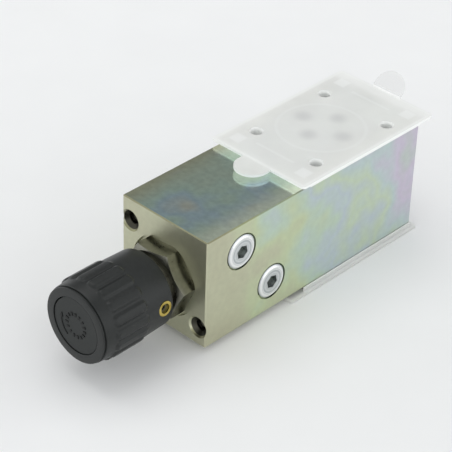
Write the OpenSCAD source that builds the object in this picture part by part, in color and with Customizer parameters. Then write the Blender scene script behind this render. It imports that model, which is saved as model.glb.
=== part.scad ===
// Sandwich valve for a size 6 valve stack. A steel block carries a screw-in relief cartridge, whose
// hand knob sets the spring, two screw plugs, and a plastic transport cover on each port face.
// Millimetres. The origin lies under the centre of the port pattern, on the resting face of the
// lower cover. +Z is up, the knob faces -Y and the screw plugs face +X.

/* [Block] */
// Width of the block
block_w = 44; // [43:0.5:56]
// Height between the two port faces
block_h = 47.5; // [46:0.5:56]
// From the centre of the port pattern to the knob end
block_front = 85.25; // [82:0.25:100]
// From the centre of the port pattern to the plain end
block_back = 33.75; // [30:0.25:44]
// Chamfer on the edges of the block
block_chamfer = 0.4; // [0.2:0.1:0.8]

/* [Port pattern] */
// Clearance holes for the stack bolts
bolt_d = 5.5; // [5.2:0.1:5.8]
// Bolt spacing across the block, towards the knob
bolt_front_w = 31; // [30:0.25:33]
// Bolt spacing across the block, towards the plain end
bolt_back_w = 32.5; // [31:0.25:34]
// Bolt spacing along the block
bolt_len = 40.5; // [39:0.25:42]
// Bore of the four ports
port_d = 7.5; // [6:0.1:7.6]
// Pressure and tank ports, to either side of the centre
port_side_x = 10.4; // [10:0.1:10.8]
// Pressure and tank ports, towards the plain end
port_side_y = 1.25; // [1:0.05:1.5]
// First working port, towards the knob
port_a_y = 7.55; // [7:0.05:8]
// Second working port, towards the plain end
port_b_y = 9.95; // [9.5:0.05:10.5]
// Recess round a port for its seal
seal_recess_d = 12.9; // [12:0.1:13.2]
// Depth of that recess
seal_recess_depth = 1.35; // [1.2:0.05:1.6]
// Thickness of a port seal
port_seal_wire = 1.8; // [1.6:0.05:2]
// Hole for the locating pin of the valve above
pin_d = 4; // [3:0.1:4]
// Depth of that hole
pin_depth = 4.5; // [3:0.5:8]
// Locating pin, to the side
pin_x = 16.25; // [16:0.05:16.5]
// Locating pin, towards the plain end
pin_y = 12.75; // [12:0.05:13.5]

/* [Tapped holes in the end face] */
// Core diameter of the thread
tap_d = 5; // [4.2:0.1:6]
// Depth of the hole
tap_depth = 14; // [8:0.5:20]
// Mouth of the countersink
tap_mouth_d = 9.2; // [7:0.1:9.4]
// Hole spacing across the block
tap_w = 36; // [35:0.5:37]
// Hole spacing up the block
tap_h = 30; // [28:0.5:31]
// Middle between the holes, over the axis of the cartridge
tap_rise = 0.8; // [0:0.1:1.2]

/* [Screw plugs] */
// Thread of the plug
plug_d = 10; // [9:0.5:11]
// Length of the thread below the flange
plug_len = 8; // [6:0.5:9]
// Diameter of the flange
plug_flange_d = 14; // [13.5:0.1:14.5]
// Thickness of the flange
plug_flange_t = 2.2; // [2:0.1:3]
// Spot face round the flange
plug_spot_d = 15.2; // [15:0.1:16]
// Bevel round the face of the flange
plug_bevel = 0.9; // [0.5:0.1:1.2]
// Distance that the flange stands out past the side of the block
plug_proud = 0.4; // [0.2:0.05:0.8]
// Thickness of the seal ring under the flange
plug_seal_t = 0.8; // [0.5:0.1:1.2]
// Hexagon socket, across its flats
plug_socket_af = 5; // [4:0.5:6]
// Depth of the socket
plug_socket_depth = 4.2; // [3:0.1:5]
// Turn of the socket when the plug is screwed tight
plug_turn = 12; // [0:1:59]
// Upper plug, from the knob end
upper_plug_y = 18.2; // [17:0.1:19]
// Upper plug, over the axis of the cartridge
upper_plug_rise = 13.25; // [12.5:0.05:13.6]
// Lower plug, from the knob end
lower_plug_y = 35.4; // [35:0.1:37]
// Lower plug, under the axis of the cartridge
lower_plug_drop = 8.95; // [8.6:0.05:9.6]
// Cross drilling behind a plug
cross_drill_d = 5.6; // [5:0.1:6]
// Long oil drilling between a cross drilling and its port
gallery_d = 5; // [4:0.1:5]
// Long oil drilling, to the side of the middle
gallery_x = 8; // [7.6:0.1:8.4]
// Press-in plug at the end of a long oil drilling
gallery_plug_d = 7; // [6:0.1:8]
// Length of that plug
gallery_plug_len = 6.5; // [5:0.5:10]

/* [Cartridge] */
// Axis of the cartridge, under the middle of the block
axis_drop = 1.8; // [0.6:0.05:2.2]
// Hexagon, across its flats
hex_af = 27; // [27:0.5:28]
// Front of the hexagon, from the end face
hex_h = 6.3; // [5:0.1:7]
// Chamfer circle on the front of the hexagon
hex_face_d = 26; // [25:0.1:26.5]
// Turn of the hexagon when it is screwed tight
hex_turn = 5; // [0:1:59]
// Spot face round the hexagon
spot_d = 33; // [32.5:0.1:34]
// Depth of that spot face
spot_depth = 1.6; // [0.5:0.1:2]
// Thread of the cartridge
thread_d = 24; // [23.8:0.1:24.4]
// End of the thread, from the end face
thread_depth = 14; // [12:0.25:14.5]
// Tank chamber's end, from the end face
chamber_depth = 22.5; // [22.3:0.1:23]
// Waist of the sleeve in the tank chamber
waist_d = 20; // [18:0.5:21]
// Number of cross holes in the waist
waist_holes = 4; // [3:1:6]
// Cross holes in the waist
waist_hole_d = 4; // [3:0.1:5]
// Nose of the cartridge
nose_d = 18; // [17.8:0.1:18.4]
// End of the nose, from the end face
nose_depth = 33; // [32.6:0.1:33.4]
// Bottom of the pressure chamber, from the end face
cavity_depth = 41; // [40.5:0.5:46]
// Neck inside the knob
neck_d = 22; // [20:0.5:23]
// End of the neck, from the end face
neck_h = 24; // [22:0.5:24]
// Chamfer on the ends of the neck and of the thread
neck_chamfer = 1; // [0.5:0.1:1.5]
// Thickness of the seal under the hexagon
head_seal_wire = 2; // [1.8:0.1:2.2]
// Thickness of the seal on the nose
nose_seal_wire = 1.8; // [1.6:0.05:2]
// Width of the backup ring beside it
backup_w = 1.2; // [1:0.1:1.5]
// Depth of the groove under the hexagon, below the thread
head_groove = 1.4; // [1.2:0.1:1.5]
// Length that a seal's groove has to spare
groove_spare = 0.4; // [0.3:0.05:0.5]
// Nose groove, below the valve seat's upper face
nose_groove_drop = 1.5; // [1.2:0.1:1.8]
// Start of the spring's bore, from the end face
stop_room = 4; // [3.8:0.1:4.5]

/* [Relief valve inside the cartridge] */
// Bore that holds the spring
guide_d = 13.2; // [13:0.1:13.6]
// Valve seat's upper face, from the end face
seat_depth = 26; // [25.8:0.1:26.4]
// Outside of the valve seat
seat_d = 12; // [11:0.1:12.4]
// Hole that the poppet closes
seat_hole_d = 5; // [4:0.1:5.6]
// Length of that hole
seat_land = 2; // [1.5:0.1:3]
// Widening of the hole below it, on each side
seat_inlet = 1; // [0.5:0.1:1.5]
// Half of the poppet's cone angle
poppet_angle = 30; // [25:1:35]
// Length of the cone below the seat
poppet_tip = 2.6; // [2:0.1:3]
// Underside of the poppet's flange, over the seat
poppet_rise = 3.8; // [3.4:0.1:4.2]
// Collar under that flange
poppet_collar = 1; // [0.6:0.1:1.4]
// Flange that carries the spring
poppet_flange_d = 11.2; // [10.8:0.1:11.6]
// Thickness of that flange
poppet_flange_t = 1.4; // [1.2:0.1:1.6]
// Length of the stem inside the spring
poppet_stem = 6.8; // [5:0.1:7]
// Wire of the spring
spring_wire = 1.6; // [1.2:0.1:1.7]
// Middle of the spring's wire, across the coil
spring_d = 8.6; // [8.2:0.1:8.8]
// Turns of the spring, with its two closed ends
spring_turns = 6; // [5:0.5:6.5]
// Height of the spring plate's disc
plate_t = 2.6; // [2:0.1:3]
// Length of its stem inside the spring
plate_stem = 4; // [3:0.1:4.4]
// Gap between a stem and the spring
stem_gap = 0.7; // [0.5:0.1:0.9]
// Spindle thread
spindle_d = 12; // [11.6:0.1:12]
// Tip of the spindle, below the end face
spindle_tip = 0.4; // [0.3:0.1:0.6]
// Narrower radius of the tip, below the thread
spindle_step = 1.4; // [1.2:0.1:1.6]
// Middle of the spindle's seal, from the end face
spindle_seal_h = 9; // [8:0.1:12]
// End of the spindle in the knob
spindle_end_d = 8; // [7:0.1:9]
// Flats on that end
spindle_flats = 6.4; // [5.5:0.1:6.6]
// Thickness of the spindle's seal
spindle_seal_wire = 1.5; // [1.2:0.1:1.8]
// Thickness of the stop ring
stop_ring_t = 1.2; // [0.8:0.1:1.4]
// Stop ring, over the tip of the spindle
stop_ring_rise = 1; // [0.8:0.1:1.2]
// Depth of its groove
stop_groove = 0.8; // [0.6:0.1:1]
// Opening of the ring
stop_ring_open = 2; // [1.5:0.1:3]
// Gap between the ring and the spring's bore
stop_ring_gap = 0.3; // [0.3:0.05:0.4]

/* [Knob] */
// Rear rim of the knob, from the end face
knob_rear = 10.2; // [10.2:0.1:12]
// Front of the knob, from the end face
knob_front = 44; // [43.6:0.1:48]
// Radius at the rear rim
knob_rear_r = 15.55; // [15.4:0.05:15.9]
// Radius at the rear of the grip
knob_mid_r = 16; // [15.9:0.05:16.2]
// Radius at the front of the grip
knob_band_r = 15.85; // [15.7:0.05:16]
// Radius behind the front disc
knob_nose_r = 15.45; // [15.3:0.05:15.6]
// Radius of the front disc
knob_disc_r = 15.1; // [14.8:0.05:15.3]
// Thickness of the front disc
knob_disc_t = 0.6; // [0.5:0.1:1]
// Width of the groove behind it
knob_groove_w = 0.6; // [0.4:0.1:1]
// Depth of that groove
knob_groove_depth = 0.3; // [0.2:0.05:0.6]
// Radius over the ridges of the grip
grip_r = 16.65; // [16.4:0.05:17]
// Rear end of the ridges, from the end face
grip_rear = 23.2; // [22.5:0.1:25]
// Front end of the ridges, from the end face
grip_front = 38.1; // [36:0.1:39]
// Number of ridges
grip_count = 18; // [12:1:20]
// Width of a ridge
grip_w = 3.7; // [2.5:0.1:4]
// Corner radius of a ridge
grip_corner = 1.3; // [0.6:0.1:1.8]
// First groove, turned from the top towards the screw plugs
grip_turn = 36; // [0:1:59]
// Gap between the neck and the inside of the knob
neck_gap = 0.6; // [0.5:0.1:1]
// Room between the neck and the floor of the knob, for screwing in
neck_room = 3.8; // [3.6:0.1:4]
// Front of the knob's hub, below the front of the knob
hub_depth = 8.1; // [8:0.1:8.6]
// Pocket for the head of the knob's screw
screw_pocket_r = 7; // [6.5:0.1:8]
// Thread of the knob's screw
knob_screw_d = 4; // [3:0.1:4]
// Length of its thread in the spindle
knob_screw_len = 9; // [7:0.5:10]
// Head of the knob's screw
knob_screw_head_d = 7; // [6:0.1:7.6]
// Height of that head
knob_screw_head_h = 3.8; // [3:0.1:4]
// Socket in that head, across its flats
knob_screw_af = 3; // [2:0.5:3]
// Thickness of the washer under that head
washer_t = 1; // [0.6:0.1:1.2]
// Outside of the washer
washer_d = 10.8; // [9:0.1:12]
// Cap in the front of the knob
cap_d = 23.2; // [22:0.1:24]
// Thickness of the cap
cap_t = 1.9; // [1.5:0.1:2.4]
// Length of the skirt behind the cap
cap_skirt = 1.6; // [1:0.1:1.6]
// Wall of that skirt
cap_wall = 1.2; // [0.8:0.1:1.6]
// Width of the notch in the cap's rim
cap_notch = 1; // [0.6:0.1:1.4]
// Start of the notch, turned from the top away from the screw plugs
notch_start = 39; // [0:1:59]
// Angle that the notch takes up
notch_span = 28; // [12:4:60]
// Brass insert in the skirt
insert_d = 6.1; // [5.5:0.1:6.4]
// Middle of the insert, from the end face
insert_h = 14.5; // [14:0.1:17]
// Turn of the insert from the top towards the screw plugs
insert_turn = 87; // [0:1:359]
// Thread of the lock screw
lock_d = 4; // [3:0.1:4]
// Distance that the lock screw sits below the skirt
lock_sunk = 1.1; // [0.5:0.1:1.5]
// Depth of the lock screw's socket
lock_socket = 1.6; // [1:0.1:2]
// Gap between the lock screw and the neck
lock_gap = 0.3; // [0.3:0.05:0.5]

/* [Transport covers] */
// Length of the plate
cover_len = 76; // [73:0.1:80]
// Middle of the upper cover's plate, past the port pattern; the lower cover's lies the other way
cover_shift = 1.5; // [0:0.1:2]
// Distance that the plate stands out past the sides of the block
cover_overhang = 2; // [0.5:0.05:3]
// Thickness of the plate
cover_t = 1; // [0.8:0.1:1.6]
// Height of the plate's inner side over the port face
cover_gap = 1.6; // [1.2:0.1:3]
// Corner radius of the plate
cover_corner = 1.5; // [0.5:0.1:3]
// Width of a pull tab
tab_w = 14; // [10:0.5:16]
// Length of a pull tab
tab_len = 9.7; // [8.5:0.1:12]
// Angle at which the upper cover's rear tab is bent up
tab_lift = 50; // [20:1:60]
// Wall of a hollow peg
peg_wall = 0.35; // [0.25:0.05:0.4]
// Depth of a peg in its bolt hole
peg_len = 4; // [3:0.5:6]
// Mouth of a hollow peg
peg_mouth_d = 5.6; // [5.3:0.1:6]
// Radius of the round rib about the ports
rib_r = 17.6; // [17.5:0.1:17.9]
// Thickness of the ribs
rib_t = 1.2; // [0.8:0.1:1.2]
// Length of a straight rib
rib_len = 18; // [12:0.5:22]
// Straight ribs, from the middle of the plate
rib_y = 28; // [27:0.25:30]
// Corner feet, from side to side
foot_w = 34; // [33:0.5:35]
// Corner feet, from end to end
foot_len = 61; // [59:0.5:62]
// Side of a corner foot
foot_size = 5; // [4:0.1:5.4]

/* [Hidden] */

$fn = 64;
// A cut runs this far past the face that it opens
past = 1;
// Gap of a running fit, of a part that is pushed or screwed home, and of a seal in its groove
running_gap = 0.04;
static_gap = 0.02;
seal_gap = 0.03;
// Small edge break on turned parts
edge = 0.5;
drill_tip = 118;

zinc = "#9da394";
zinc_yellow = "#a8a683";
bright_steel = "#c8ccd0";
hard_steel = "#8d9094";
black_plastic = "#3a3d3b";
brass = "#c9a83c";
rubber_black = "#222222";
milky = "#dcdedb";
white_plastic = "#e8e6de";

// Levels of the block, and the axis of the cartridge
block_z = cover_gap + cover_t;
axis_h = block_h / 2 - axis_drop;
axis_z = block_z + axis_h;
upper_plug_h = axis_h + upper_plug_rise;
lower_plug_h = axis_h - lower_plug_drop;
block_len = block_front + block_back;

// Bolts as [x, y], ports as [x, y]
bolt_places = [
    [-bolt_front_w / 2, -bolt_len / 2], [bolt_front_w / 2, -bolt_len / 2],
    [-bolt_back_w / 2, bolt_len / 2], [bolt_back_w / 2, bolt_len / 2]
];
pressure_port = [port_side_x, port_side_y];
tank_port = [-port_side_x, port_side_y];
port_a = [0, -port_a_y];
port_b = [0, port_b_y];

// Cavity and sleeve, as radii and as distances from the end face, outwards
thread_r = thread_d / 2;
head_groove_r = thread_r - head_groove;
mouth_r = head_groove_r + head_seal_wire + 2 * seal_gap;
mouth_h = -spot_depth - head_seal_wire - groove_spare;
nose_r = nose_d / 2;
nose_groove_r = nose_r - nose_seal_wire - 2 * seal_gap;
nose_groove_h = -seat_depth - nose_groove_drop;
nose_groove_w = nose_seal_wire + backup_w + groove_spare;
hex_r = hex_af / 2 / cos(30);
neck_r = neck_d / 2;

// Moving parts of the relief valve, as distances from the end face
spindle_r = spindle_d / 2 - running_gap;
guide_r = guide_d / 2;
spindle_tip_r = spindle_r - spindle_step;
stop_ring_h = stop_ring_rise - spindle_tip;
stop_groove_r = spindle_tip_r - stop_groove;
plate_h = -spindle_tip - plate_t;
poppet_flange_h = poppet_rise - seat_depth;
spring_base_h = poppet_flange_h + poppet_flange_t;
spring_len = plate_h - spring_base_h - 2 * seal_gap;
spring_stem_r = (spring_d - spring_wire) / 2 - stem_gap;

// Inside of the knob
knob_hole_r = neck_r + neck_gap;
knob_floor_h = neck_h + neck_room;
hub_front_h = knob_front - hub_depth;
screw_r = knob_screw_d / 2;
screw_head_r = knob_screw_head_d / 2;

// Puts local +Z on the axis of the cartridge, outwards, with zero on the end face and +Y up
module on_axis() {
    translate([0, -block_front, axis_z])
        rotate([90, 0, 0])
            children();
}

// Puts local +Z along +X on the right side of the block, at a place from the knob end and lower face
module on_side(y, h) {
    translate([block_w / 2, -block_front + y, block_z + h])
        rotate([0, 90, 0])
            children();
}

// Puts local +Z outwards through the skirt of the knob, at the lock screw
module on_skirt() {
    on_axis()
        translate([0, 0, insert_h])
            rotate([-90, 0, -insert_turn])
                children();
}

// Solid of revolution from points [radius, height]
module turned(points) {
    rotate_extrude()
        polygon(points);
}

module tube(r_in, r_out, h) {
    difference() {
        cylinder(r = r_out, h = h);
        translate([0, 0, -past])
            cylinder(r = r_in, h = h + 2 * past);
    }
}

// Round seal ring of a given inner radius, centred on z = 0
module o_ring(r_in, wire) {
    rotate_extrude()
        translate([r_in + wire / 2, 0])
            circle(d = wire, $fn = 32);
}

module hexagon(af, h) {
    cylinder(r = af / 2 / cos(30), h = h, $fn = 6);
}

// Rectangle with round corners, about its middle
module rounded_rectangle(w, h, r) {
    square([w - 2 * r, h], center = true);
    square([w, h - 2 * r], center = true);
    for (x = [-1, 1], y = [-1, 1])
        translate([x * (w / 2 - r), y * (h / 2 - r)])
            circle(r = r, $fn = 32);
}

// Outline of a block face with its corners cut
module chamfered_rectangle(w, h, c) {
    polygon([
        [c, 0], [w - c, 0], [w, c], [w, h - c], [w - c, h], [c, h], [0, h - c], [0, c]
    ]);
}

// Block with all twelve edges chamfered: its outlines along the three axes, intersected
module chamfered_block(w, len, h, c) {
    intersection() {
        linear_extrude(h)
            chamfered_rectangle(w, len, c);
        translate([0, len, 0])
            rotate([90, 0, 0])
                linear_extrude(len)
                    chamfered_rectangle(w, h, c);
        rotate([90, 0, 90])
            linear_extrude(w)
                chamfered_rectangle(len, h, c);
    }
}

// Stepped cavity for the cartridge, with a drill point at its bottom
module cartridge_cavity() {
    tip_h = -cavity_depth - (nose_r - edge) / tan(drill_tip / 2);
    turned([
        [0, past], [spot_d / 2, past], [spot_d / 2, -spot_depth], [mouth_r, -spot_depth],
        [mouth_r, mouth_h], [thread_r, mouth_h], [thread_r, -chamber_depth],
        [nose_r, -chamber_depth], [nose_r, -cavity_depth], [edge, tip_h], [0, tip_h]
    ]);
}

// Spot face, thread and cross drilling for a screw plug; reach is how far in the drilling goes
module plug_bore(reach) {
    spot = plug_flange_t + plug_seal_t - plug_proud;
    translate([0, 0, -spot])
        cylinder(d = plug_spot_d, h = spot + past);
    translate([0, 0, -spot - plug_len - past])
        cylinder(d = plug_d, h = plug_len + 2 * past);
    translate([0, 0, -reach])
        cylinder(d = cross_drill_d, h = reach);
}

// Long oil drilling from the plain end to a cross drilling, with the bore for its end plug
module gallery(x, y, h) {
    run = block_len - y;
    translate([x, block_back, block_z + h])
        rotate([90, 0, 0]) {
            cylinder(d = gallery_d, h = run);
            translate([0, 0, -past])
                cylinder(d = gallery_plug_d, h = gallery_plug_len + edge + past);
        }
}

// Countersunk tapped hole in the end face
module tapped_hole() {
    sink = (tap_mouth_d - tap_d) / 2;
    translate([0, 0, -tap_depth])
        cylinder(d = tap_d, h = tap_depth + past);
    translate([0, 0, -sink])
        cylinder(d1 = tap_d, d2 = tap_mouth_d + 2 * past, h = sink + past);
}

module valve_block() {
    color(zinc)
        difference() {
            translate([-block_w / 2, -block_front, block_z])
                chamfered_block(block_w, block_len, block_h, block_chamfer);
            for (p = bolt_places)
                translate([p.x, p.y, block_z - past])
                    cylinder(d = bolt_d, h = block_h + 2 * past);
            for (p = [pressure_port, tank_port, port_a, port_b])
                translate([p.x, p.y, block_z - past]) {
                    cylinder(d = port_d, h = block_h + 2 * past);
                    cylinder(d = seal_recess_d, h = seal_recess_depth + past);
                }
            translate([pin_x, pin_y, block_z + block_h - pin_depth])
                cylinder(d = pin_d, h = pin_depth + past);
            on_axis() {
                cartridge_cavity();
                for (side = [-1, 1])
                    translate([side * tap_w / 2, tap_rise - side * tap_h / 2, 0])
                        tapped_hole();
            }
            on_side(upper_plug_y, upper_plug_h)
                plug_bore(block_w / 2 + gallery_x);
            on_side(lower_plug_y, lower_plug_h)
                plug_bore(block_w / 2 + cross_drill_d / 2);
            gallery(-gallery_x, upper_plug_y, upper_plug_h);
            gallery(gallery_x, lower_plug_y, lower_plug_h);
        }
}

module gallery_plugs() {
    color(hard_steel)
        for (p = [[-gallery_x, upper_plug_h], [gallery_x, lower_plug_h]])
            translate([p.x, block_back - edge, block_z + p.y])
                rotate([90, 0, 0])
                    turned([
                        [0, 0], [gallery_plug_d / 2 - edge, 0],
                        [gallery_plug_d / 2 - static_gap, edge],
                        [gallery_plug_d / 2 - static_gap, gallery_plug_len],
                        [0, gallery_plug_len]
                    ]);
}

// Pull tab of a cover: straight at its root, round at its end
module tab() {
    linear_extrude(cover_t) {
        translate([-tab_w / 2, -edge])
            square([tab_w, tab_len - tab_w / 2 + edge]);
        translate([0, tab_len - tab_w / 2])
            circle(d = tab_w);
    }
}

// Transport cover, with its inner side up to z = 0 on the port face and its plate outwards.
// Hollow pegs plug into the bolt holes; feet and ribs hold the plate off the face.
module cover(shift, rear_tab_lift) {
    peg_r = bolt_d / 2 - running_gap;
    peg_hole_r = peg_r - peg_wall;
    difference() {
        union() {
            translate([0, shift, cover_gap]) {
                linear_extrude(cover_t)
                    rounded_rectangle(block_w + 2 * cover_overhang, cover_len, cover_corner);
                translate([0, -cover_len / 2, 0])
                    rotate([0, 0, 180])
                        tab();
                translate([0, cover_len / 2, 0])
                    rotate([rear_tab_lift, 0, 0])
                        tab();
            }
            for (p = bolt_places)
                translate([p.x, p.y, -peg_len])
                    cylinder(r = peg_r, h = peg_len + cover_gap + cover_t / 2);
            tube(rib_r - rib_t / 2, rib_r + rib_t / 2, cover_gap + cover_t / 2);
            for (side = [-1, 1])
                translate([-rib_len / 2, shift + side * rib_y - rib_t / 2, 0])
                    cube([rib_len, rib_t, cover_gap + cover_t / 2]);
            for (x = [-1, 1], y = [-1, 1])
                translate([(x * foot_w - foot_size) / 2, shift + (y * foot_len - foot_size) / 2, 0])
                    cube([foot_size, foot_size, cover_gap + cover_t / 2]);
        }
        for (p = bolt_places)
            translate([p.x, p.y, 0]) {
                translate([0, 0, -peg_len - past])
                    cylinder(r = peg_hole_r, h = peg_len + cover_gap + cover_t + 2 * past);
                translate([0, 0, cover_gap])
                    cylinder(r1 = peg_hole_r, d2 = peg_mouth_d, h = cover_t + static_gap);
            }
    }
}

module top_cover() {
    color(milky)
        translate([0, 0, block_z + block_h])
            cover(cover_shift, tab_lift);
}

module bottom_cover() {
    color(milky)
        translate([0, 0, block_z])
            rotate([0, 180, 0])
                cover(-cover_shift, 0);
}

// Flanged screw plug with a hexagon socket
module screw_plug(y, h) {
    flange_r = plug_flange_d / 2;
    plug_r = plug_d / 2 - static_gap;
    under = plug_proud - plug_flange_t;
    end = under - plug_len;
    color(bright_steel)
        on_side(y, h)
            difference() {
                turned([
                    [0, plug_proud], [flange_r - plug_bevel, plug_proud], [flange_r, plug_proud - edge],
                    [flange_r, under], [plug_r, under], [plug_r, end + edge],
                    [plug_r - edge, end], [0, end]
                ]);
                translate([0, 0, plug_proud - plug_socket_depth])
                    rotate([0, 0, plug_turn])
                        hexagon(plug_socket_af, plug_socket_depth + past);
            }
}

module upper_screw_plug() {
    screw_plug(upper_plug_y, upper_plug_h);
}

module lower_screw_plug() {
    screw_plug(lower_plug_y, lower_plug_h);
}

// Flat seal ring between the flange of a plug and its spot face
module plug_seal(y, h) {
    color(rubber_black)
        on_side(y, h)
            translate([0, 0, plug_proud - plug_flange_t - plug_seal_t])
                tube(plug_d / 2 + static_gap, plug_flange_d / 2 - edge, plug_seal_t);
}

module upper_plug_seal() {
    plug_seal(upper_plug_y, upper_plug_h);
}

module lower_plug_seal() {
    plug_seal(lower_plug_y, lower_plug_h);
}

// O-ring that stands a little proud of the lower port face
module port_seal(place) {
    color(rubber_black)
        translate([place.x, place.y, block_z + seal_recess_depth - port_seal_wire / 2 - seal_gap])
            o_ring(seal_recess_d / 2 - seal_gap - port_seal_wire, port_seal_wire);
}

module pressure_port_seal() {
    port_seal(pressure_port);
}

module tank_port_seal() {
    port_seal(tank_port);
}

module port_a_seal() {
    port_seal(port_a);
}

module port_b_seal() {
    port_seal(port_b);
}

// Hexagon with a turned chamfer on its front corners
module hex_head() {
    corner_h = hex_h - (hex_r - hex_face_d / 2) * tan(30);
    intersection() {
        translate([0, 0, -spot_depth])
            rotate([0, 0, hex_turn])
                hexagon(hex_af, hex_h + spot_depth);
        turned([
            [0, -spot_depth], [hex_r + past, -spot_depth], [hex_r + past, corner_h - past * tan(30)],
            [hex_face_d / 2, hex_h], [0, hex_h]
        ]);
    }
}

module cartridge_sleeve() {
    shank_r = thread_r - static_gap;
    land_r = nose_r - running_gap;
    color(zinc_yellow)
        on_axis()
            difference() {
                union() {
                    hex_head();
                    turned([
                        [0, neck_h], [neck_r - neck_chamfer, neck_h], [neck_r, neck_h - neck_chamfer],
                        [neck_r, -spot_depth],
                        [head_groove_r, -spot_depth], [head_groove_r, mouth_h], [shank_r, mouth_h],
                        [shank_r, -thread_depth + neck_chamfer], [shank_r - neck_chamfer, -thread_depth],
                        [waist_d / 2, -thread_depth], [waist_d / 2, -chamber_depth + 2 * edge],
                        [land_r, -chamber_depth + edge], [land_r, nose_groove_h],
                        [nose_groove_r, nose_groove_h], [nose_groove_r, nose_groove_h - nose_groove_w],
                        [land_r, nose_groove_h - nose_groove_w], [land_r, -nose_depth + edge],
                        [land_r - edge, -nose_depth], [0, -nose_depth]
                    ]);
                }
                turned([
                    [0, neck_h + past], [spindle_d / 2, neck_h + past], [spindle_d / 2, stop_room],
                    [guide_r, stop_room], [guide_r, -seat_depth], [seat_d / 2, -seat_depth],
                    [seat_d / 2, -nose_depth - past], [0, -nose_depth - past]
                ]);
                for (i = [0 : waist_holes - 1])
                    translate([0, 0, -upper_plug_y])
                        rotate([90, 0, i * 360 / waist_holes])
                            cylinder(d = waist_hole_d, h = thread_r);
            }
}

module head_seal() {
    color(rubber_black)
        on_axis()
            translate([0, 0, (mouth_h - spot_depth) / 2])
                o_ring(head_groove_r + seal_gap, head_seal_wire);
}

module nose_seal() {
    color(rubber_black)
        on_axis()
            translate([0, 0, nose_groove_h - nose_groove_w + (nose_seal_wire + groove_spare) / 2])
                o_ring(nose_groove_r + seal_gap, nose_seal_wire);
}

module nose_backup_ring() {
    color(white_plastic)
        on_axis()
            translate([0, 0, nose_groove_h - backup_w])
                tube(nose_groove_r + seal_gap, nose_r - seal_gap, backup_w);
}

module valve_seat() {
    seat_r = seat_d / 2 - static_gap;
    hole_r = seat_hole_d / 2;
    inlet_r = hole_r + seat_inlet;
    color(hard_steel)
        on_axis()
            turned([
                [hole_r, -seat_depth], [seat_r, -seat_depth], [seat_r, -nose_depth + edge],
                [seat_r - edge, -nose_depth], [inlet_r, -nose_depth],
                [inlet_r, -seat_depth - seat_land - seat_inlet], [hole_r, -seat_depth - seat_land]
            ]);
}

module poppet() {
    slope = tan(poppet_angle);
    lip_r = seat_hole_d / 2 - seal_gap;
    shoulder_r = lip_r + (poppet_rise - poppet_collar) * slope;
    flange_r = poppet_flange_d / 2;
    stem_h = spring_base_h + poppet_stem;
    color(bright_steel)
        on_axis()
            turned([
                [0, -seat_depth - poppet_tip], [lip_r - poppet_tip * slope, -seat_depth - poppet_tip],
                [shoulder_r, poppet_flange_h - poppet_collar], [shoulder_r, poppet_flange_h],
                [flange_r, poppet_flange_h], [flange_r, spring_base_h], [spring_stem_r, spring_base_h],
                [spring_stem_r, stem_h - edge], [spring_stem_r - edge, stem_h], [0, stem_h]
            ]);
}

// Height of the spring's wire after some turns: closed end turns, open ones between
function spring_rise(turn) =
    let(closed = spring_wire + seal_gap)
    let(open = (spring_len - spring_wire - 2 * closed) / (spring_turns - 2))
    turn < 1 ? turn * closed
        : turn > spring_turns - 1 ? closed + (spring_turns - 2) * open + (turn - spring_turns + 1) * closed
        : closed + (turn - 1) * open;

// Coil spring swept as rings of points along its helix
module relief_spring() {
    ring_points = 8;
    rings_a_turn = 16;
    last = spring_turns * rings_a_turn;
    points = [
        for (i = [0 : last], k = [0 : ring_points - 1])
            let(turn = i / rings_a_turn, a = 360 * turn, b = 360 * k / ring_points)
            let(r = spring_d / 2 + spring_wire / 2 * cos(b))
            [r * cos(a), r * sin(a), spring_rise(turn) + spring_wire / 2 * sin(b)]
    ];
    sides = [
        for (i = [0 : last - 1], k = [0 : ring_points - 1])
            let(n = (k + 1) % ring_points, low = i * ring_points, high = low + ring_points)
            [low + k, high + k, high + n, low + n]
    ];
    first_cap = [for (k = [0 : ring_points - 1]) k];
    last_cap = [for (k = [ring_points - 1 : -1 : 0]) last * ring_points + k];
    color(hard_steel)
        on_axis()
            translate([0, 0, spring_base_h + seal_gap + spring_wire / 2])
                polyhedron(points, concat([first_cap, last_cap], sides));
}

module spring_plate() {
    plate_r = guide_r - running_gap;
    color(bright_steel)
        on_axis()
            turned([
                [0, -spindle_tip], [plate_r - edge, -spindle_tip], [plate_r, -spindle_tip - edge],
                [plate_r, plate_h], [spring_stem_r, plate_h], [spring_stem_r, plate_h - plate_stem + edge],
                [spring_stem_r - edge, plate_h - plate_stem], [0, plate_h - plate_stem]
            ]);
}

// Threaded spindle: tip with the stop ring's groove, seal groove, thread, and the flatted end in the knob
module adjusting_spindle() {
    end_r = spindle_end_d / 2;
    end_h = hub_front_h - groove_spare / 2;
    seal_half = (spindle_seal_wire + groove_spare) / 2;
    seal_r = spindle_d / 2 - spindle_seal_wire - 2 * seal_gap;
    ring_top = stop_ring_h + stop_ring_t + static_gap;
    color(bright_steel)
        on_axis()
            difference() {
                union() {
                    turned([
                        [0, -spindle_tip], [spindle_tip_r, -spindle_tip],
                        [spindle_tip_r, stop_ring_h - static_gap], [stop_groove_r, stop_ring_h - static_gap],
                        [stop_groove_r, ring_top], [spindle_r, ring_top],
                        [spindle_r, spindle_seal_h - seal_half], [seal_r, spindle_seal_h - seal_half],
                        [seal_r, spindle_seal_h + seal_half], [spindle_r, spindle_seal_h + seal_half],
                        [spindle_r, knob_floor_h], [0, knob_floor_h]
                    ]);
                    translate([0, 0, knob_floor_h - edge])
                        intersection() {
                            cylinder(r = end_r - static_gap, h = end_h - knob_floor_h + edge);
                            translate([-spindle_flats / 2 + static_gap, -end_r, 0])
                                cube([spindle_flats - 2 * static_gap, 2 * end_r, hub_front_h]);
                        }
                }
                translate([0, 0, end_h - knob_screw_len])
                    cylinder(r = screw_r + static_gap, h = knob_screw_len + past);
            }
}

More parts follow.
